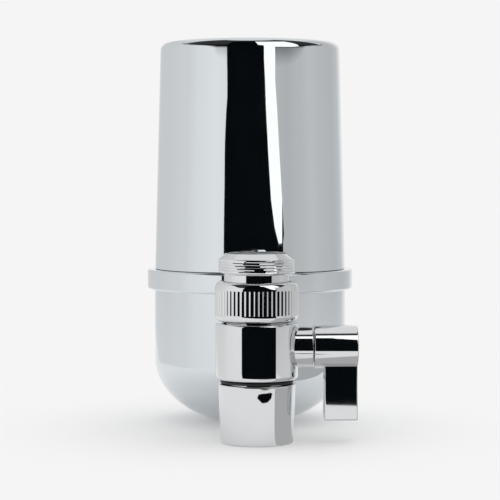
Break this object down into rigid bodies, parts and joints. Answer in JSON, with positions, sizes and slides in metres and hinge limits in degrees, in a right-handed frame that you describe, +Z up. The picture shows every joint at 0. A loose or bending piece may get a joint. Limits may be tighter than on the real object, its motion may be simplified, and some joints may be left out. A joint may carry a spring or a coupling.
{
  "type": "faucet mount water filter",
  "caption": "Chromed faucet mount water filter: domed screw-together housing, knurled swivel nut, threaded adapter and lever diverter valve with aerated outlet.",
  "frame": {"origin": "centre of the flat foot under the housing, on the housing's axis", "axes": "+Z up along the housing's axis; the diverter valve stands in front on -Y; the lever is on +X"},
  "size_m": [0.069, 0.1015, 0.1267],
  "materials": {
    "chromed_housing": "mirror chrome plating on a moulded housing",
    "chromed_brass": "mirror chrome plating on brass",
    "black_rubber": "moulded, matte",
    "grey_silicone": "moulded, satin",
    "white_plastic": "moulded, fine satin",
    "pressed_carbon": "sintered, porous",
    "white_fleece": "pleated non-woven",
    "bare_brass": "machined, unplated",
    "stainless_steel": "drawn and punched"
  },
  "bodies": {
    "housing": {"filter_bowl": "chromed_housing", "outlet_seat": "white_plastic", "return_tube": "stainless_steel", "cartridge_base": "white_plastic", "cartridge_top": "white_plastic", "cartridge_seal_ring": "black_rubber", "carbon_block": "pressed_carbon", "sediment_sleeve": "white_fleece", "diverter_body": "chromed_brass", "union_nut": "chromed_brass", "union_seal_ring": "black_rubber", "outlet_shell": "chromed_brass", "outlet_washer": "black_rubber", "aerator_screen": "stainless_steel", "aerator_core": "white_plastic", "aerator_ring": "chromed_brass", "swivel_sleeve": "bare_brass", "spindle_gland": "bare_brass"},
    "cap": {"filter_cap": "chromed_housing", "cap_seal_ring": "black_rubber"},
    "swivel": {"swivel_nut": "chromed_brass", "faucet_adapter": "chromed_brass", "inlet_screen": "stainless_steel", "adapter_washer": "grey_silicone", "swivel_washer": "black_rubber"},
    "lever": {"lever_handle": "chromed_brass", "lever_screw": "stainless_steel", "lever_screw_cover": "chromed_brass", "valve_spindle": "bare_brass", "spindle_seal_ring_outer": "black_rubber", "spindle_seal_ring_inner": "black_rubber"}
  },
  "joints": [
    {"name": "cap_lift", "type": "slide", "parent": "housing", "child": "cap", "axis": [0, 0, 1], "range_m": [0, 0.085]},
    {"name": "swivel_turn", "type": "hinge", "parent": "housing", "child": "swivel", "pos_m": [0, -0.054, 0.045], "axis": [0, 0, 1], "continuous": true},
    {"name": "lever_turn", "type": "hinge", "parent": "housing", "child": "lever", "pos_m": [0.024, -0.054, 0.0295], "axis": [-1, 0, 0], "range_deg": [0, 90]}
  ]
}
